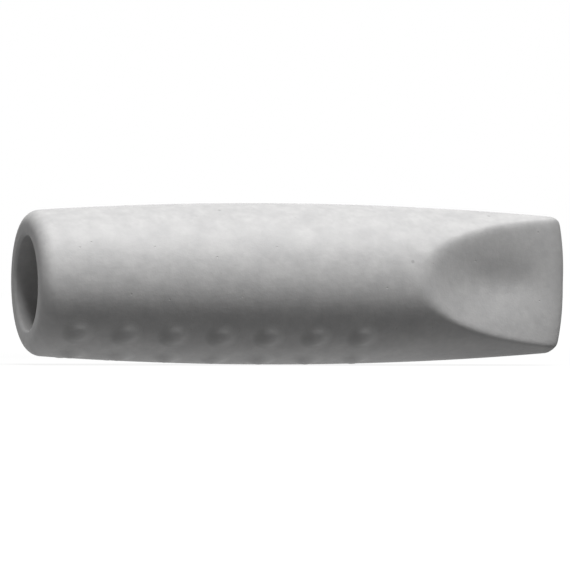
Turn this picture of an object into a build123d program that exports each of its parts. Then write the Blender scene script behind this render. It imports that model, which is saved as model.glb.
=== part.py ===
from build123d import *

import os
from math import asin, cos, radians, sin

# A rubber eraser cap for a pencil. It lies along X: the open mouth is at the origin, centred on the bore,
# and the rubbing tip points along +X. +Z is up, the two scoops of the tip face -Y and +Y, and the grip dots
# are on the underside. All sizes are in millimetres and degrees.

# Bore and mouth
bore_diameter = 6.8
bore_depth = 22.0
bore_end_round = 1.5
bore_edge_round = 0.48
mouth_wall = 1.77
lip_land = 0.17

# Barrel, which swells from the mouth to a widest point and tapers to the tip
cap_length = 40.0
belly_swell = 0.64
belly_position = 18.2
end_taper = 0.23

# Rubbing tip: a crowned end between two dished scoops, which both lean back to look up a little
end_crown = 0.55
end_corner_round = 0.6
scoop_length = 12.6
scoop_lean = 4.3
scoop_dip = 0.5
dish_radius = 13.0
tip_dish_radius = 80.0
tip_thickness = 3.1
scoop_edge_round = 0.6

# Grip dots, in straight rows along the underside, at these angles to either side of straight down
outer_row_angle = 48.5
inner_row_angle = 19.0
dots_per_row = 7
dot_pitch = 3.5
first_dot = 2.86
dot_diameter = 2.1
dot_rise = 0.25
dot_seat = 0.25

# Radii that follow from the sizes above
bore_radius = bore_diameter / 2
mouth_radius = bore_radius + mouth_wall
belly_radius = mouth_radius + belly_swell
end_radius = mouth_radius - end_taper
end_rim = cap_length - end_crown
lip_round = mouth_wall - bore_edge_round - lip_land

# The rows from the front of the barrel to its back
row_angles = (-outer_row_angle, -inner_row_angle, inner_row_angle, outer_row_angle)

belly_line = ThreePointArc((0, mouth_radius), (belly_position, belly_radius), (end_rim, end_radius))


def barrel_radius(x):
    """Radius of the barrel's outside at x from the mouth."""
    centre = belly_line.arc_center
    return centre.Y + (belly_line.radius**2 - (x - centre.X) ** 2) ** 0.5


def corner(section, x, y):
    """The corner of a flat section that lies nearest to a point."""
    return section.vertices().sort_by_distance((x, y, 0))[0]


def moulding():
    """The round body, turned from half its lengthwise section: barrel, lip, blind bore and crowned end."""
    crown_radius = (end_radius**2 + end_crown**2) / (2 * end_crown)
    half_sweep = asin(end_radius / crown_radius) / 2
    crown_middle = (
        cap_length - crown_radius + crown_radius * cos(half_sweep),
        crown_radius * sin(half_sweep),
    )
    crown_line = ThreePointArc((end_rim, end_radius), crown_middle, (cap_length, 0))
    bore_line = Polyline(
        (cap_length, 0),
        (bore_depth, 0),
        (bore_depth, bore_radius),
        (0, bore_radius),
        (0, mouth_radius),
    )
    section = make_face(Curve() + [belly_line, crown_line, bore_line])
    section = fillet(corner(section, bore_depth, bore_radius), bore_end_round)
    section = fillet(corner(section, 0, bore_radius), bore_edge_round)
    section = fillet(corner(section, 0, mouth_radius), lip_round)
    section = fillet(corner(section, end_rim, end_radius), end_corner_round)
    return Rot(90, 0, 0) * revolve(section, Axis.X)


def scoop():
    """The hollow in the tip's front: a dish that starts at the barrel's skin and flattens to the end."""
    start = cap_length - scoop_length
    start_depth = barrel_radius(start)
    end_depth = tip_thickness / 2
    overrun = 0.2
    half_height = belly_radius + 1
    outside = 2 * belly_radius
    slices = []
    for share, radius in ((-overrun, dish_radius), (0.5, dish_radius), (1 + overrun, tip_dish_radius)):
        x = start + share * scoop_length
        straight_depth = start_depth + share * (end_depth - start_depth)
        depth = straight_depth - 4 * scoop_dip * share * (1 - share)
        rim_depth = depth + radius - (radius**2 - half_height**2) ** 0.5
        dish = ThreePointArc((x, -rim_depth, -half_height), (x, -depth, 0), (x, -rim_depth, half_height))
        back = Polyline(
            (x, -rim_depth, half_height),
            (x, -outside, half_height),
            (x, -outside, -half_height),
            (x, -rim_depth, -half_height),
        )
        slices.append(make_face(Curve() + [dish, back]))
    return Rot(-scoop_lean, 0, 0) * loft(slices)


def dot_places(row_angle):
    """Planes on the barrel's skin, facing out, at each dot of the row at an angle."""
    across = sin(radians(row_angle))
    down = -cos(radians(row_angle))
    places = []
    for number in range(dots_per_row):
        x = first_dot + number * dot_pitch
        radius = barrel_radius(x)
        lean = (x - belly_line.arc_center.X) / belly_line.radius
        outward = (lean, across * (1 - lean**2) ** 0.5, down * (1 - lean**2) ** 0.5)
        places.append(Plane((x, radius * across, radius * down), x_dir=(0, down, -across), z_dir=outward))
    return places


def grip_dot():
    """A round stud with a domed top, its foot sunk below the skin that it stands on."""
    radius = dot_diameter / 2
    dome_radius = (radius**2 + dot_rise**2) / (2 * dot_rise)
    stud = Pos(0, 0, -dot_seat) * Cylinder(
        radius, dot_seat + dot_rise, align=(Align.CENTER, Align.CENTER, Align.MIN)
    )
    return stud & Pos(0, 0, dot_rise - dome_radius) * Sphere(dome_radius)


def dot_pocket():
    """The hole that a grip dot's foot fills, open to the outside."""
    return Pos(0, 0, -dot_seat) * Cylinder(
        dot_diameter / 2, 2 * dot_seat, align=(Align.CENTER, Align.CENTER, Align.MIN)
    )


def eraser_cap():
    """The whole rubber moulding: scooped tip with soft edges, and a pocket for every grip dot."""
    front_scoop = scoop()
    cap = moulding() - front_scoop - mirror(front_scoop, Plane.XZ)
    scoop_edges = cap.edges().filter_by(GeomType.BSPLINE)
    cap = fillet(scoop_edges, scoop_edge_round)
    pockets = []
    for row_angle in row_angles:
        pockets += [place * dot_pocket() for place in dot_places(row_angle)]
    return cap - pockets


os.makedirs("parts", exist_ok=True)
export_step(eraser_cap(), "parts/eraser_cap.step")
for row, row_angle in enumerate(row_angles, start=1):
    dots = [place * grip_dot() for place in dot_places(row_angle)]
    export_step(Compound(dots), f"parts/grip_dots_row_{row}.step")
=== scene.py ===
import math

import bpy
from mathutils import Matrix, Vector


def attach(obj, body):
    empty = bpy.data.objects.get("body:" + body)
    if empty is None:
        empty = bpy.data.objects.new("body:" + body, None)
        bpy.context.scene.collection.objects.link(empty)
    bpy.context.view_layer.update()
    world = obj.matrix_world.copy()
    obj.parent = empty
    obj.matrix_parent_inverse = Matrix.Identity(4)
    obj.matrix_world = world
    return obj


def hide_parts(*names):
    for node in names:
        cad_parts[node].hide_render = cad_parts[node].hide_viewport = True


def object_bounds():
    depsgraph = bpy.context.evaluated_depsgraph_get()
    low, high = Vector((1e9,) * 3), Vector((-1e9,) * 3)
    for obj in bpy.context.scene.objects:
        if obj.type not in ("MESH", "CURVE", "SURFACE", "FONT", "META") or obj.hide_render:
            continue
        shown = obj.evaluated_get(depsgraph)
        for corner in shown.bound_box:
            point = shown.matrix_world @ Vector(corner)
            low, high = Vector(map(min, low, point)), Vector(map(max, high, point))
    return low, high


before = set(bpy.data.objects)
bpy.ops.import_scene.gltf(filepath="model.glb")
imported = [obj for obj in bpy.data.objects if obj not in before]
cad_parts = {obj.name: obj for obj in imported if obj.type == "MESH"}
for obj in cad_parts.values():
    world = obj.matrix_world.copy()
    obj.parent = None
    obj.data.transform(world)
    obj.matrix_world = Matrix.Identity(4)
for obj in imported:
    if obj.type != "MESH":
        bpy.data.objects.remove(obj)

cad_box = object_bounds()


# The eraser cap
# One moulding of matte grey eraser rubber: a barrel with a blind bore at its mouth, and a solid end with
# a shallow scoop on two sides. It is turned here from half its lengthwise outline, as on a lathe, and
# then each point of the tip is drawn in to the scoops.
MM = 0.001

# Barrel, bore and tip, in millimetres along X from the mouth or out from the axis
cap_length = 40.0
widest_radius = 5.81
widest_at = 18.2
belly_arc_radius = 260.0
bore_radius = 3.4
bore_depth = 22.0
bore_end_round = 1.5
bore_edge_round = 0.25
lip_round = 1.12
crown_radius = 23.0
end_round = 0.6
tip_start = 24.5

# Scoops: where they start, and how far their slope is from the cap's middle there and at the end
scoop_start = 27.85
start_half_thickness = 5.82
end_half_thickness = 1.42


def arc(centre, radius, start, end, steps):
    """Points along an arc, from one angle in degrees to another."""
    points = []
    for step in range(steps + 1):
        angle = math.radians(start + (end - start) * step / steps)
        points.append((centre[0] + radius * math.cos(angle), centre[1] + radius * math.sin(angle)))
    return points


def straight(start, end, steps):
    """Points along a straight line, up to the one before its end."""
    points = []
    for step in range(steps):
        x = start[0] + (end[0] - start[0]) * step / steps
        z = start[1] + (end[1] - start[1]) * step / steps
        points.append((x, z))
    return points


def crossing(centre_a, radius_a, centre_b, radius_b):
    """The upper point where two circles cross."""
    apart = math.dist(centre_a, centre_b)
    along = (radius_a**2 - radius_b**2 + apart**2) / (2 * apart)
    aside = math.sqrt(radius_a**2 - along**2)
    heading_x = (centre_b[0] - centre_a[0]) / apart
    heading_z = (centre_b[1] - centre_a[1]) / apart
    ends = []
    for side in (1, -1):
        x = centre_a[0] + along * heading_x - side * aside * heading_z
        z = centre_a[1] + along * heading_z + side * aside * heading_x
        ends.append((x, z))
    return max(ends, key=lambda point: point[1])


def angle_to(centre, point):
    """Direction from one point to another, in degrees."""
    return math.degrees(math.atan2(point[1] - centre[1], point[0] - centre[0]))


def cap_outline():
    """Half the lengthwise section: from the bore's end, round the lip, to the middle of the cap's end."""
    belly_centre = (widest_at, widest_radius - belly_arc_radius)
    crown_centre = (cap_length - crown_radius, 0)
    lip_centre_height = belly_centre[1] + math.sqrt(
        (belly_arc_radius - lip_round) ** 2 - (lip_round - widest_at) ** 2
    )
    lip_centre = (lip_round, lip_centre_height)
    corner_centre = crossing(
        belly_centre, belly_arc_radius - end_round, crown_centre, crown_radius - end_round
    )
    lip_angle = angle_to(belly_centre, lip_centre)
    tip_angle = 90 - math.degrees(math.asin((tip_start - widest_at) / belly_arc_radius))
    corner_angle = angle_to(belly_centre, corner_centre)
    crown_angle = angle_to(crown_centre, corner_centre)
    bore_end_centre = (bore_depth - bore_end_round, bore_radius - bore_end_round)
    bore_edge_centre = (bore_edge_round, bore_radius + bore_edge_round)
    outline = straight((bore_depth, 0), (bore_depth, bore_end_centre[1]), steps=6)
    outline += arc(bore_end_centre, bore_end_round, 0, 90, steps=8)
    outline += straight((bore_end_centre[0], bore_radius), (bore_edge_round, bore_radius), steps=24)[1:]
    outline += arc(bore_edge_centre, bore_edge_round, 270, 180, steps=6)
    outline += arc(lip_centre, lip_round, 180, lip_angle, steps=16)
    outline += arc(belly_centre, belly_arc_radius, lip_angle, tip_angle, steps=46)[1:]

    # From the tip on, the points stand closer together, to follow the scoops
    outline += arc(belly_centre, belly_arc_radius, tip_angle, corner_angle, steps=92)[1:]
    outline += arc(corner_centre, end_round, corner_angle, crown_angle, steps=12)[1:]
    outline += arc(crown_centre, crown_radius, crown_angle, 0, steps=20)[1:]
    return outline


def line_object(name, outline):
    """A mesh of edges through an outline's points, in millimetres: X along the axis, Z out from it."""
    mesh = bpy.data.meshes.new(name)
    points = [(x * MM, 0, z * MM) for x, z in outline]
    mesh.from_pydata(points, [(number, number + 1) for number in range(len(points) - 1)], [])
    piece = bpy.data.objects.new(name, mesh)
    bpy.context.scene.collection.objects.link(piece)
    return piece


def node(tree, kind, **settings):
    """Add one node to a tree, with its settings."""
    made = tree.nodes.new(kind)
    for name, value in settings.items():
        setattr(made, name, value)
    return made


def feed(tree, socket, value):
    """Give an input socket a plain value or the output of another node."""
    if isinstance(value, bpy.types.NodeSocket):
        tree.links.new(value, socket)
    else:
        socket.default_value = value


def calc(tree, operation, *values):
    """One step of arithmetic in a node tree."""
    step = node(tree, "ShaderNodeMath", operation=operation)
    for socket, value in zip(step.inputs, values):
        feed(tree, socket, value)
    return step.outputs[0]


def weighed(tree, first, first_weight, second, second_weight):
    """The sum of two values in a node tree, each times its own weight."""
    first_part = calc(tree, "MULTIPLY", first, first_weight)
    second_part = calc(tree, "MULTIPLY", second, second_weight)
    return calc(tree, "ADD", first_part, second_part)


def squares(tree, first, second):
    """The sum of the squares of two values in a node tree."""
    return weighed(tree, first, first, second, second)


def split(tree, vector):
    """The three parts of a vector in a node tree."""
    parts = node(tree, "ShaderNodeSeparateXYZ")
    feed(tree, parts.inputs[0], vector)
    return parts.outputs


def join(tree, x, y, z):
    """A vector from its three parts in a node tree."""
    vector = node(tree, "ShaderNodeCombineXYZ")
    for socket, value in zip(vector.inputs, (x, y, z)):
        feed(tree, socket, value)
    return vector.outputs[0]


def spread(tree, value, low, high, new_low, new_high):
    """Move a value from one range to another, and hold it at the ends."""
    ramp = node(tree, "ShaderNodeMapRange")
    for socket, given in zip(ramp.inputs, (value, low, high, new_low, new_high)):
        feed(tree, socket, given)
    return ramp.outputs[0]


def new_tree(name, inputs, outputs):
    """A geometry node group with named sockets, as (name, kind), and its input and output nodes."""
    tree = bpy.data.node_groups.new(name, "GeometryNodeTree")
    for title, kind in inputs:
        tree.interface.new_socket(title, in_out="INPUT", socket_type=kind)
    for title, kind in outputs:
        tree.interface.new_socket(title, in_out="OUTPUT", socket_type=kind)
    return tree, node(tree, "NodeGroupInput").outputs, node(tree, "NodeGroupOutput").inputs


def use(tree, group, **values):
    """Place a node group in a tree and feed its inputs by name, with spaces written as underscores."""
    placed = node(tree, "GeometryNodeGroup", node_tree=group)
    for name, value in values.items():
        feed(tree, placed.inputs[name.replace("_", " ")], value)
    return placed.outputs


def lathe_group():
    """Turns an outline about X into a skin, with its points crowded towards the top and the bottom."""
    sheet_size = 1.0
    merge_distance = 1e-6
    tree, given, result = new_tree(
        "lathe",
        [
            ("Outline", "NodeSocketGeometry"),
            ("Around", "NodeSocketInt"),
            ("Crowding", "NodeSocketFloat"),
        ],
        [("Skin", "NodeSocketGeometry")],
    )
    size = node(tree, "GeometryNodeAttributeDomainSize", component="MESH")
    feed(tree, size.inputs["Geometry"], given["Outline"])
    rings = size.outputs["Point Count"]

    # A square sheet, centred on the origin: each row of points across it becomes one ring of the skin
    sheet = node(tree, "GeometryNodeMeshGrid")
    feed(tree, sheet.inputs["Size X"], sheet_size)
    feed(tree, sheet.inputs["Size Y"], sheet_size)
    feed(tree, sheet.inputs["Vertices X"], rings)
    feed(tree, sheet.inputs["Vertices Y"], calc(tree, "ADD", given["Around"], 1))
    place = node(tree, "GeometryNodeInputPosition").outputs[0]
    along, across, _ = split(tree, place)
    from_start = calc(tree, "ADD", along, sheet_size / 2)
    ring = calc(tree, "MULTIPLY", from_start, calc(tree, "SUBTRACT", rings, 1))
    outline_point = node(tree, "GeometryNodeSampleIndex", data_type="FLOAT_VECTOR", domain="POINT")
    feed(tree, outline_point.inputs["Geometry"], given["Outline"])
    feed(tree, outline_point.inputs["Value"], place)
    feed(tree, outline_point.inputs["Index"], calc(tree, "ROUND", ring))
    x, _, radius = split(tree, outline_point.outputs[0])

    # The sheet is rolled up, and its first and last edge are merged
    turn = calc(tree, "MULTIPLY", across, 2 * math.pi)
    wave = calc(tree, "SINE", calc(tree, "MULTIPLY", turn, 2))
    turn = calc(tree, "SUBTRACT", turn, calc(tree, "MULTIPLY", wave, given["Crowding"]))
    y = calc(tree, "MULTIPLY", radius, calc(tree, "SINE", turn))
    z = calc(tree, "MULTIPLY", radius, calc(tree, "COSINE", turn))
    turned = node(tree, "GeometryNodeSetPosition")
    feed(tree, turned.inputs["Geometry"], sheet.outputs["Mesh"])
    feed(tree, turned.inputs["Position"], join(tree, x, y, z))
    closed = node(tree, "GeometryNodeMergeByDistance")
    feed(tree, closed.inputs["Geometry"], turned.outputs[0])
    feed(tree, closed.inputs["Distance"], merge_distance)
    feed(tree, result["Skin"], closed.outputs[0])
    return tree


def barrel_radius_group():
    """The barrel's radius at a place along X, on the long arc of its side."""
    tree, given, result = new_tree(
        "barrel radius",
        [
            ("X", "NodeSocketFloat"),
            ("Widest At", "NodeSocketFloat"),
            ("Widest Radius", "NodeSocketFloat"),
            ("Belly Arc Radius", "NodeSocketFloat"),
        ],
        [("Radius", "NodeSocketFloat")],
    )
    off = calc(tree, "SUBTRACT", given["X"], given["Widest At"])
    fall = calc(tree, "MULTIPLY", off, off)
    arc_square = calc(tree, "MULTIPLY", given["Belly Arc Radius"], given["Belly Arc Radius"])
    height = calc(tree, "SQRT", calc(tree, "SUBTRACT", arc_square, fall))
    drop = calc(tree, "SUBTRACT", given["Belly Arc Radius"], height)
    feed(tree, result["Radius"], calc(tree, "SUBTRACT", given["Widest Radius"], drop))
    return tree


lathe = lathe_group()
barrel_radius = barrel_radius_group()
barrel_sizes = {
    "Widest_At": widest_at * MM,
    "Widest_Radius": widest_radius * MM,
    "Belly_Arc_Radius": belly_arc_radius * MM,
}


def barrel_at(tree, given, x):
    """The barrel's radius at a place along X, in a tree whose inputs include the barrel's sizes."""
    return use(
        tree,
        barrel_radius,
        X=x,
        Widest_At=given["Widest At"],
        Widest_Radius=given["Widest Radius"],
        Belly_Arc_Radius=given["Belly Arc Radius"],
    )[0]


def mark_tone(tree, shape, tone):
    """Keep on the mesh how far the rubber is paled by wear and painted highlight, above 0, or darkened by
    painted shade, below 0.
    """
    marked = node(tree, "GeometryNodeStoreNamedAttribute", data_type="FLOAT", domain="POINT")
    feed(tree, marked.inputs["Geometry"], shape)
    feed(tree, marked.inputs["Name"], "tone")
    feed(tree, marked.inputs["Value"], tone)
    return marked.outputs[0]


def finish_tree(tree, shape, material):
    """The last steps of a piece's tree: smooth shading, one plain mesh, and its material."""
    smooth = node(tree, "GeometryNodeSetShadeSmooth")
    feed(tree, smooth.inputs["Geometry"], shape)
    whole = node(tree, "GeometryNodeRealizeInstances")
    feed(tree, whole.inputs["Geometry"], smooth.outputs[0])
    finished = node(tree, "GeometryNodeSetMaterial")
    feed(tree, finished.inputs["Geometry"], whole.outputs[0])
    feed(tree, finished.inputs["Material"], material)
    return finished.outputs[0]


def cap_tree():
    """The cap's skin: the turned outline, with its tip drawn in to a scoop at the front and the back."""
    sizes = [
        "Widest At",
        "Widest Radius",
        "Belly Arc Radius",
        "Crowding",
        "Scoop Start",
        "Start Half Thickness",
        "Slope",
        "Lean",
        "Bowl Depth",
        "Bowl Middle",
        "Bowl Height",
        "Bowl Reach Along",
        "Bowl Reach Across",
        "Edge Softness",
        "Cap Length",
        "End Softness",
        "End Round",
        "Crown Radius",
        "End Slant",
        "End Slant Start",
        "Mouth Slant",
        "Mouth Slant Stop",
        "Rim Wear",
        "Rim Wear Reach",
        "Face Soil",
        "Face Soil Reach",
        "Smudge Start",
        "Smudge Full",
        "Smudge",
    ]
    tree, given, result = new_tree(
        "eraser cap skin",
        [
            ("Outline", "NodeSocketGeometry"),
            ("Around", "NodeSocketInt"),
            ("Rubber", "NodeSocketMaterial"),
        ]
        + [(size, "NodeSocketFloat") for size in sizes],
        [("Skin", "NodeSocketGeometry")],
    )
    blank = use(
        tree, lathe, Outline=given["Outline"], Around=given["Around"], Crowding=given["Crowding"]
    )[0]
    x, y, z = split(tree, node(tree, "GeometryNodeInputPosition").outputs[0])
    barrel = barrel_at(tree, given, x)

    # Each point's direction from the axis, in shares out of its scoop and up it. The scoops look up a
    # little, and the back one mirrors the front one. Small limits keep the divisions safe
    out = calc(tree, "SQRT", squares(tree, y, z))
    safe_out = calc(tree, "MAXIMUM", out, 1e-9)
    level = calc(tree, "DIVIDE", calc(tree, "ABSOLUTE", y), safe_out)
    upright = calc(tree, "DIVIDE", z, safe_out)
    lean_level = calc(tree, "COSINE", given["Lean"])
    lean_up = calc(tree, "SINE", given["Lean"])
    sideways = calc(tree, "MAXIMUM", weighed(tree, level, lean_level, upright, lean_up), 1e-4)
    upright_part = calc(tree, "MULTIPLY", upright, lean_level)
    level_part = calc(tree, "MULTIPLY", level, lean_up)
    upwards = calc(tree, "SUBTRACT", upright_part, level_part)

    # The slope runs straight from the barrel's skin to the tip, with a shallow bowl pressed into it, and
    # the edge between slope and barrel grows softer towards the end
    run = calc(tree, "SUBTRACT", x, given["Scoop Start"])
    fall = calc(tree, "MULTIPLY", run, given["Slope"])
    slope = calc(tree, "SUBTRACT", given["Start Half Thickness"], fall)
    height = calc(tree, "MULTIPLY", calc(tree, "DIVIDE", slope, sideways), upwards)
    off_along = calc(tree, "SUBTRACT", x, given["Bowl Middle"])
    off_along = calc(tree, "DIVIDE", off_along, given["Bowl Reach Along"])
    off_across = calc(tree, "SUBTRACT", height, given["Bowl Height"])
    off_across = calc(tree, "DIVIDE", off_across, given["Bowl Reach Across"])
    off_square = squares(tree, off_along, off_across)
    bell = calc(tree, "EXPONENT", calc(tree, "MULTIPLY", off_square, -1))
    bowl = calc(tree, "MULTIPLY", given["Bowl Depth"], bell)
    dish = calc(tree, "DIVIDE", calc(tree, "SUBTRACT", slope, bowl), sideways)
    softness = spread(
        tree, x, given["Scoop Start"], given["Cap Length"], given["Edge Softness"], given["End Softness"]
    )
    skin = calc(tree, "SMOOTH_MIN", barrel, dish, softness)

    # The scoop's rim is worn pale and its face is darkened with painted shade, by the distance from the
    # rim in edge widths.
    # The end, which rubs on the paper, is darkened evenly with painted shade instead
    rim_off = calc(tree, "DIVIDE", calc(tree, "SUBTRACT", dish, barrel), given["Edge Softness"])
    rim_away = calc(tree, "ABSOLUTE", rim_off)
    wear_and_highlight = spread(tree, rim_away, 0, given["Rim Wear Reach"], given["Rim Wear"], 0)
    shade_full_at = calc(tree, "MULTIPLY", given["Face Soil Reach"], -1)
    painted_shade = spread(tree, rim_off, shade_full_at, 0, given["Face Soil"], 0)
    side_tone = calc(tree, "SUBTRACT", wear_and_highlight, painted_shade)
    end_tone = calc(tree, "MULTIPLY", given["Smudge"], -1)
    tone = spread(tree, x, given["Smudge Start"], given["Smudge Full"], side_tone, end_tone)
    marked = mark_tone(tree, blank, tone)

    # Points on the side move straight in. The end's points close up, and come forward to the end's crown
    moved = calc(tree, "SUBTRACT", out, calc(tree, "SUBTRACT", barrel, skin))
    inner_skin = calc(tree, "SUBTRACT", skin, given["End Round"])
    inner_barrel = calc(tree, "SUBTRACT", barrel, given["End Round"])
    closed_up = calc(tree, "MULTIPLY", out, calc(tree, "DIVIDE", inner_skin, inner_barrel))
    new_out = calc(tree, "MAXIMUM", moved, closed_up)
    out_square = calc(tree, "MULTIPLY", out, out)
    square_loss = calc(tree, "SUBTRACT", out_square, calc(tree, "MULTIPLY", new_out, new_out))
    forward = calc(tree, "DIVIDE", square_loss, calc(tree, "MULTIPLY", given["Crown Radius"], 2))
    scale = calc(tree, "DIVIDE", new_out, safe_out)
    new_y = calc(tree, "MULTIPLY", y, scale)
    new_z = calc(tree, "MULTIPLY", z, scale)

    # Neither the end nor the mouth is quite square
    end_share = spread(tree, x, given["End Slant Start"], given["Cap Length"], 0, 1)
    mouth_share = spread(tree, x, 0, given["Mouth Slant Stop"], 1, 0)
    end_slant = calc(tree, "MULTIPLY", given["End Slant"], end_share)
    mouth_slant = calc(tree, "MULTIPLY", given["Mouth Slant"], mouth_share)
    slant = calc(tree, "SUBTRACT", end_slant, mouth_slant)
    forward = calc(tree, "ADD", forward, calc(tree, "MULTIPLY", new_z, slant))
    scooped = node(tree, "GeometryNodeSetPosition")
    feed(tree, scooped.inputs["Geometry"], marked)
    new_place = join(tree, calc(tree, "ADD", x, forward), new_y, new_z)
    feed(tree, scooped.inputs["Position"], new_place)
    feed(tree, result["Skin"], finish_tree(tree, scooped.outputs[0], given["Rubber"]))
    return tree


def make_piece(name, outline, tree, **values):
    """Run a node tree on an outline, with its inputs by name, and keep the result as one plain mesh."""
    piece = line_object(name, outline)
    modifier = piece.modifiers.new("shape", "NODES")
    modifier.node_group = tree
    for item in tree.interface.items_tree:
        key = item.name.replace(" ", "_")
        if item.in_out == "INPUT" and key in values:
            modifier[item.identifier] = values[key]
    seen = piece.evaluated_get(bpy.context.evaluated_depsgraph_get())
    mesh = bpy.data.meshes.new_from_object(seen)
    mesh.name = name
    piece.modifiers.clear()
    piece.data = mesh
    return piece


# Colours of the rubber: its two clouded greys, the dark of its grain, the dark of painted shade, the pale
# of wear and painted highlight, and its dark crumbs
dull_rubber = (0.43, 0.427, 0.427, 1)
pale_rubber = (0.505, 0.501, 0.498, 1)
dark_grain = (0.2, 0.2, 0.205, 1)
# Painted shade, and the pale shared by wear and painted highlight
painted_shade_grey = (0.22, 0.219, 0.217, 1)
wear_and_highlight_grey = (0.55, 0.548, 0.545, 1)
dark_crumb = (0.12, 0.12, 0.122, 1)


def noise(tree, place, patch, detail):
    """A soft random pattern, from 0 to 1, whose patches are about so many millimetres across."""
    pattern = node(tree, "ShaderNodeTexNoise")
    feed(tree, pattern.inputs["Vector"], place)
    feed(tree, pattern.inputs["Scale"], 1 / (patch * MM))
    feed(tree, pattern.inputs["Detail"], detail)
    return pattern.outputs[0]


def follow_noise(tree, pattern, at_low, at_high):
    """A value that follows a noise pattern, over the range that most of the pattern lies in."""
    usual_low = 0.3
    usual_high = 0.7
    return spread(tree, pattern, usual_low, usual_high, at_low, at_high)


def blend(tree, share, first, second):
    """A colour between two others, by a share from 0 to 1."""
    mixer = node(tree, "ShaderNodeMix", data_type="RGBA")
    feed(tree, mixer.inputs["Factor"], share)
    feed(tree, mixer.inputs[6], first)
    feed(tree, mixer.inputs[7], second)
    return mixer.outputs[2]


def crumbs(tree, place, apart, size, kept):
    """Scattered soft spots, with sizes in millimetres: one in each cell, of which a share is kept."""
    full_to = 0.3 * size / apart
    gone_at = 0.5 * size / apart
    cells = node(tree, "ShaderNodeTexVoronoi", feature="F1")
    feed(tree, cells.inputs["Vector"], place)
    feed(tree, cells.inputs["Scale"], 1 / (apart * MM))
    spot = spread(tree, cells.outputs["Distance"], full_to, gone_at, 1, 0)
    draw, _, _ = split(tree, cells.outputs["Color"])
    return calc(tree, "MULTIPLY", spot, calc(tree, "LESS_THAN", draw, kept))


def rubber_material():
    """Matte grey rubber with clouds, grain, crumbs and pits, paler with wear and painted highlight,
    darker with painted shade.
    """
    crumb_strength = 0.35
    relief_height = 0.02
    material = bpy.data.materials.new("eraser_rubber")
    material.use_nodes = True
    tree = material.node_tree
    shader = tree.nodes["Principled BSDF"]
    place = node(tree, "ShaderNodeTexCoord").outputs["Object"]
    tone = node(tree, "ShaderNodeAttribute", attribute_name="tone").outputs["Fac"]
    clouds = noise(tree, place, patch=1.4, detail=3)
    grain = noise(tree, place, patch=0.45, detail=2)
    fine_grain = noise(tree, place, patch=0.12, detail=1)

    cloudy = blend(tree, follow_noise(tree, clouds, 0, 1), dull_rubber, pale_rubber)
    grainy = blend(tree, follow_noise(tree, grain, 0.15, 0), cloudy, dark_grain)
    # Below 0 the tone darkens the rubber with painted shade; above 0 it pales it with wear and painted
    # highlight
    painted_shade = blend(tree, spread(tree, tone, -1, 0, 1, 0), grainy, painted_shade_grey)
    wear_and_highlight = blend(tree, spread(tree, tone, 0, 1, 0, 1), painted_shade, wear_and_highlight_grey)
    crumb = crumbs(tree, place, apart=1.7, size=0.3, kept=0.07)
    colour = blend(tree, calc(tree, "MULTIPLY", crumb, crumb_strength), wear_and_highlight, dark_crumb)
    feed(tree, shader.inputs["Base Color"], colour)
    feed(tree, shader.inputs["Roughness"], follow_noise(tree, grain, 0.58, 0.66))

    pit = crumbs(tree, place, apart=0.9, size=0.16, kept=0.2)
    both_grains = weighed(tree, grain, 0.7, fine_grain, 0.3)
    relief = node(tree, "ShaderNodeBump")
    feed(tree, relief.inputs["Strength"], 1.0)
    feed(tree, relief.inputs["Distance"], relief_height * MM)
    feed(tree, relief.inputs["Height"], calc(tree, "SUBTRACT", both_grains, pit))
    feed(tree, shader.inputs["Normal"], relief.outputs[0])
    return material


eraser_rubber = rubber_material()
cap = make_piece(
    "eraser_cap_skin",
    cap_outline(),
    cap_tree(),
    Around=320,
    Crowding=0.25,
    Rubber=eraser_rubber,
    Scoop_Start=scoop_start * MM,
    Start_Half_Thickness=start_half_thickness * MM,
    Slope=(start_half_thickness - end_half_thickness) / (cap_length - scoop_start),
    Lean=math.radians(4.3),
    Bowl_Depth=0.73 * MM,
    Bowl_Middle=33.6 * MM,
    Bowl_Height=-0.3 * MM,
    Bowl_Reach_Along=4.3 * MM,
    Bowl_Reach_Across=2.9 * MM,
    Edge_Softness=0.36 * MM,
    Cap_Length=cap_length * MM,
    End_Softness=0.7 * MM,
    End_Round=end_round * MM,
    Crown_Radius=crown_radius * MM,
    End_Slant=0.04,
    End_Slant_Start=30 * MM,
    Mouth_Slant=0.014,
    Mouth_Slant_Stop=6 * MM,
    Rim_Wear=0.08,
    Rim_Wear_Reach=1.5,
    # Painted shade on the scoop's face, deepest away from the rim, and evenly on the end
    Face_Soil=0.21,
    Face_Soil_Reach=2.0,
    Smudge_Start=38.4 * MM,
    Smudge_Full=39.4 * MM,
    Smudge=0.58,
    **barrel_sizes,
)
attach(cap, "root")
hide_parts("eraser_cap")


# The grip dots
# Low soft domes of the same rubber in four straight rows along the underside, which stop the cap
# slipping in the fingers. Each dot has a hollow skirt that runs out into the barrel, and a foot sunk
# below the barrel's skin.
dot_rise = 0.25
dot_radius = 1.25
dot_skirt_round = 1.5
dot_apron = 0.1
dot_seat = 0.2
dots_per_row = 7
first_dot = 2.86
dot_pitch = 3.5

# The rows' angles from straight below, in degrees, each with how much painted shade its dots carry
outer_row_angle = 48.5
inner_row_angle = 19
outer_row_shade = 0.6
inner_row_shade = 0.0
rows = (
    (-outer_row_angle, outer_row_shade),
    (-inner_row_angle, inner_row_shade),
    (inner_row_angle, inner_row_shade),
    (outer_row_angle, outer_row_shade),
)


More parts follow.
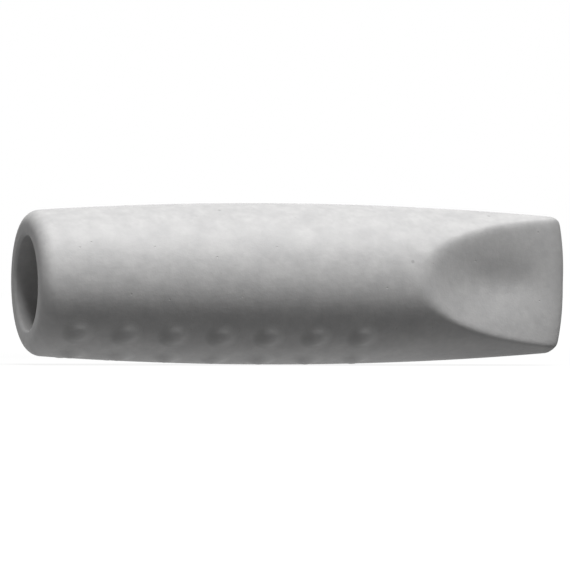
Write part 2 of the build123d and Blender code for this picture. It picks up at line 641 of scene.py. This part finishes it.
def dot_outline():
    """Half a dot's section, with its height along X: from its foot, up the skirt, to the dome's top."""
    lean = 2 * math.degrees(math.atan(dot_rise / dot_radius))
    dome_round = dot_radius / math.sin(math.radians(lean)) - dot_skirt_round
    foot_radius = dot_radius + dot_apron
    outline = [(-dot_seat, 0), (-dot_seat, foot_radius / 2), (-dot_seat, foot_radius)]
    outline += [(-dot_seat / 2, foot_radius), (-dot_apron / 6, dot_radius + dot_apron / 2)]
    outline += arc((dot_skirt_round, dot_radius), dot_skirt_round, 180, 180 + lean, steps=6)
    outline += arc((dot_rise - dome_round, 0), dome_round, lean, 0, steps=9)[1:]
    return outline


def dot_row_tree():
    """A straight row of dots, all turned from one outline and wrapped on to the barrel at one angle."""
    sizes = [
        "First Dot",
        "Pitch",
        "Dot Radius",
        "Row Angle",
        "Widest At",
        "Widest Radius",
        "Belly Arc Radius",
        "Rub Angle",
        "Wear",
        "Soil",
    ]
    tree, given, result = new_tree(
        "grip dot row",
        [
            ("Outline", "NodeSocketGeometry"),
            ("Around", "NodeSocketInt"),
            ("Dots", "NodeSocketInt"),
            ("Rubber", "NodeSocketMaterial"),
        ]
        + [(size, "NodeSocketFloat") for size in sizes],
        [("Row", "NodeSocketGeometry")],
    )
    dot = use(tree, lathe, Outline=given["Outline"], Around=given["Around"], Crowding=0.0)[0]
    upright = node(tree, "GeometryNodeTransform")
    feed(tree, upright.inputs["Geometry"], dot)
    feed(tree, upright.inputs["Rotation"], (0, -math.pi / 2, 0))

    # Each dot has a painted highlight on its upper side towards the tip, and painted shade on the
    # opposite side. Both fade out at its middle and its edge, and the peak is the most that r * (1 - r *
    # r) comes to
    shade_peak = 0.385
    along, aside, _ = split(tree, node(tree, "GeometryNodeInputPosition").outputs[0])
    along = calc(tree, "DIVIDE", along, given["Dot Radius"])
    aside = calc(tree, "DIVIDE", aside, given["Dot Radius"])
    fade = calc(tree, "MAXIMUM", calc(tree, "SUBTRACT", 1, squares(tree, along, aside)), 0)
    upwards = calc(tree, "MULTIPLY", aside, calc(tree, "SIGN", given["Row Angle"]))
    light_along = calc(tree, "COSINE", given["Rub Angle"])
    light_up = calc(tree, "SINE", given["Rub Angle"])
    shade = calc(tree, "MULTIPLY", weighed(tree, along, light_along, upwards, light_up), fade)
    wear_and_highlight = spread(tree, shade, 0, shade_peak, 0, given["Wear"])
    painted_shade = spread(tree, shade, -shade_peak, 0, given["Soil"], 0)
    marked = mark_tone(tree, upright.outputs[0], calc(tree, "SUBTRACT", wear_and_highlight, painted_shade))

    # The dots stand in a flat row, which is then bent round the barrel
    line = node(tree, "GeometryNodeMeshLine", mode="OFFSET")
    feed(tree, line.inputs["Count"], given["Dots"])
    feed(tree, line.inputs["Start Location"], join(tree, given["First Dot"], 0.0, 0.0))
    feed(tree, line.inputs["Offset"], join(tree, given["Pitch"], 0.0, 0.0))
    row = node(tree, "GeometryNodeInstanceOnPoints")
    feed(tree, row.inputs["Points"], line.outputs[0])
    feed(tree, row.inputs["Instance"], marked)
    flat_row = node(tree, "GeometryNodeRealizeInstances")
    feed(tree, flat_row.inputs["Geometry"], row.outputs[0])
    x, across, rise = split(tree, node(tree, "GeometryNodeInputPosition").outputs[0])
    barrel = barrel_at(tree, given, x)
    turn = calc(tree, "ADD", given["Row Angle"], calc(tree, "DIVIDE", across, barrel))
    out = calc(tree, "ADD", barrel, rise)
    y = calc(tree, "MULTIPLY", out, calc(tree, "SINE", turn))
    z = calc(tree, "MULTIPLY", calc(tree, "MULTIPLY", out, calc(tree, "COSINE", turn)), -1)
    wrapped = node(tree, "GeometryNodeSetPosition")
    feed(tree, wrapped.inputs["Geometry"], flat_row.outputs[0])
    feed(tree, wrapped.inputs["Position"], join(tree, x, y, z))
    feed(tree, result["Row"], finish_tree(tree, wrapped.outputs[0], given["Rubber"]))
    return tree


dot_row = dot_row_tree()
for number, (angle, row_shade) in enumerate(rows, start=1):
    dots = make_piece(
        f"grip_dots_{number}",
        dot_outline(),
        dot_row,
        Around=40,
        Dots=dots_per_row,
        Rubber=eraser_rubber,
        First_Dot=first_dot * MM,
        Pitch=dot_pitch * MM,
        Row_Angle=math.radians(angle),
        Dot_Radius=dot_radius * MM,
        # Where on each dot the painted highlight and painted shade fall, and how strong each is
        Rub_Angle=math.radians(32),
        Wear=0.8,
        Soil=row_shade,
        **barrel_sizes,
    )
    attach(dots, "root")
    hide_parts(f"grip_dots_row_{number}")


# The studio
# A floor that is nearly white to the camera and throws some light back on to the cap, a soft lamp above
# and in front, a weaker one at the right, and a white surround that lights the cap only faintly.
floor_height = cad_box[0][2]
floor_reach = 3.0
floor_grey = (0.1, 0.1, 0.1, 1)
surround_white = (1, 1, 1, 1)
surround_light = 0.13

# The place in the cap that the photograph is centred on, which the lamps and the camera face
photo_middle = (19.28 * MM, 0, -0.08 * MM)


def seen_by_camera(tree):
    """1 for rays that the camera sees by, straight or reflected, and 0 for those that only light."""
    rays = node(tree, "ShaderNodeLightPath").outputs
    seen = calc(tree, "ADD", rays["Is Camera Ray"], rays["Is Glossy Ray"])
    return calc(tree, "MINIMUM", calc(tree, "ADD", seen, rays["Is Transmission Ray"]), 1)


def glow_patch(tree, x, aside, strength, aside_fade, rise, fall):
    """A patch of floor that glows: where it fades out aside, and where it rises and falls along X."""
    patch = spread(tree, aside, aside_fade[0] * MM, aside_fade[1] * MM, strength, 0.0)
    patch = calc(tree, "MULTIPLY", patch, spread(tree, x, rise[0] * MM, rise[1] * MM, 0.0, 1.0))
    return calc(tree, "MULTIPLY", patch, spread(tree, x, fall[0] * MM, fall[1] * MM, 1.0, 0.0))


def floor_material():
    """Nearly white to the camera, with a faint shadow. Two patches light the cap from below and ahead."""
    near_white = 0.87
    full_white = 1.0
    white_from = 60 * MM
    white_at = 300 * MM
    material = bpy.data.materials.new("studio_floor")
    material.use_nodes = True
    tree = material.node_tree
    tree.nodes.clear()
    x, y, _ = split(tree, node(tree, "ShaderNodeTexCoord").outputs["Object"])
    away = calc(tree, "SQRT", squares(tree, x, y))
    paper = spread(tree, away, white_from, white_at, near_white, full_white)

    # The patches stand for what a pale table throws back under the cap and at its mouth, in millimetres
    aside = calc(tree, "ABSOLUTE", y)
    under = glow_patch(tree, x, aside, 0.36, aside_fade=(3.4, 6.0), rise=(-7, -3), fall=(28, 44))
    ahead = glow_patch(tree, x, aside, 0.12, aside_fade=(15, 30), rise=(-50, -40), fall=(-4, 0))
    glow = calc(tree, "ADD", under, ahead)

    seen = seen_by_camera(tree)
    unseen = calc(tree, "SUBTRACT", 1, seen)
    lit = node(tree, "ShaderNodeEmission")
    feed(tree, lit.inputs["Strength"], weighed(tree, seen, paper, unseen, glow))
    matte = node(tree, "ShaderNodeBsdfDiffuse")
    feed(tree, matte.inputs["Color"], floor_grey)
    both = node(tree, "ShaderNodeAddShader")
    feed(tree, both.inputs[0], matte.outputs[0])
    feed(tree, both.inputs[1], lit.outputs[0])
    output = node(tree, "ShaderNodeOutputMaterial")
    feed(tree, output.inputs["Surface"], both.outputs[0])
    return material


floor_mesh = bpy.data.meshes.new("studio_floor")
floor_mesh.from_pydata(
    [
        (-floor_reach, -floor_reach, floor_height),
        (floor_reach, -floor_reach, floor_height),
        (floor_reach, floor_reach, floor_height),
        (-floor_reach, floor_reach, floor_height),
    ],
    [],
    [(0, 1, 2, 3)],
)
floor_mesh.materials.append(floor_material())
floor = bpy.data.objects.new("studio_floor", floor_mesh)
bpy.context.scene.collection.objects.link(floor)

world = bpy.data.worlds.new("studio")
world.use_nodes = True
bpy.context.scene.world = world
sky = world.node_tree
background = sky.nodes["Background"]
feed(sky, background.inputs["Color"], surround_white)
sky_strength = spread(sky, seen_by_camera(sky), 0, 1, surround_light, 1.0)
feed(sky, background.inputs["Strength"], sky_strength)


def aim(thing, place, target):
    """Put a lamp or camera at a place and turn it to face a target."""
    thing.location = place
    thing.rotation_euler = (Vector(target) - Vector(place)).to_track_quat("-Z", "Y").to_euler()


def softbox(name, direction, distance, length, width, power):
    """A soft lamp that faces the cap from one direction, in metres and watts."""
    lamp = bpy.data.lights.new(name, "AREA")
    lamp.shape = "RECTANGLE"
    lamp.size = length
    lamp.size_y = width
    lamp.energy = power
    thing = bpy.data.objects.new(name, lamp)
    bpy.context.scene.collection.objects.link(thing)
    reach = math.sqrt(sum(part**2 for part in direction))
    place = [middle + part / reach * distance for middle, part in zip(photo_middle, direction)]
    aim(thing, place, photo_middle)


softbox("key_softbox", (-0.015, -0.352, 0.936), distance=0.4, length=0.18, width=0.13, power=1.93)
softbox("right_softbox", (0.394, -0.355, 0.848), distance=0.4, length=0.1, width=0.1, power=0.42)

# The camera looks level, a little from the mouth's side, through a long lens, as for the photograph
view_angle = math.radians(-16)
view_roll = math.radians(0.22)
lens = 500.0
sensor = 36.0
photo_pixels = 570
pixels_per_mm = 13.87
frame_width = photo_pixels / pixels_per_mm * MM
camera_distance = frame_width * lens / sensor
camera_data = bpy.data.cameras.new("photo_camera")
camera_data.lens = lens
camera_data.sensor_width = sensor
camera_data.clip_start = 0.01
camera_data.clip_end = 20
camera = bpy.data.objects.new("photo_camera", camera_data)
bpy.context.scene.collection.objects.link(camera)
aim(
    camera,
    (
        photo_middle[0] + camera_distance * math.sin(view_angle),
        photo_middle[1] - camera_distance * math.cos(view_angle),
        photo_middle[2],
    ),
    photo_middle,
)
camera.rotation_euler.rotate_axis("Z", view_roll)
bpy.context.scene.camera = camera
bpy.context.scene.view_settings.view_transform = "Standard"
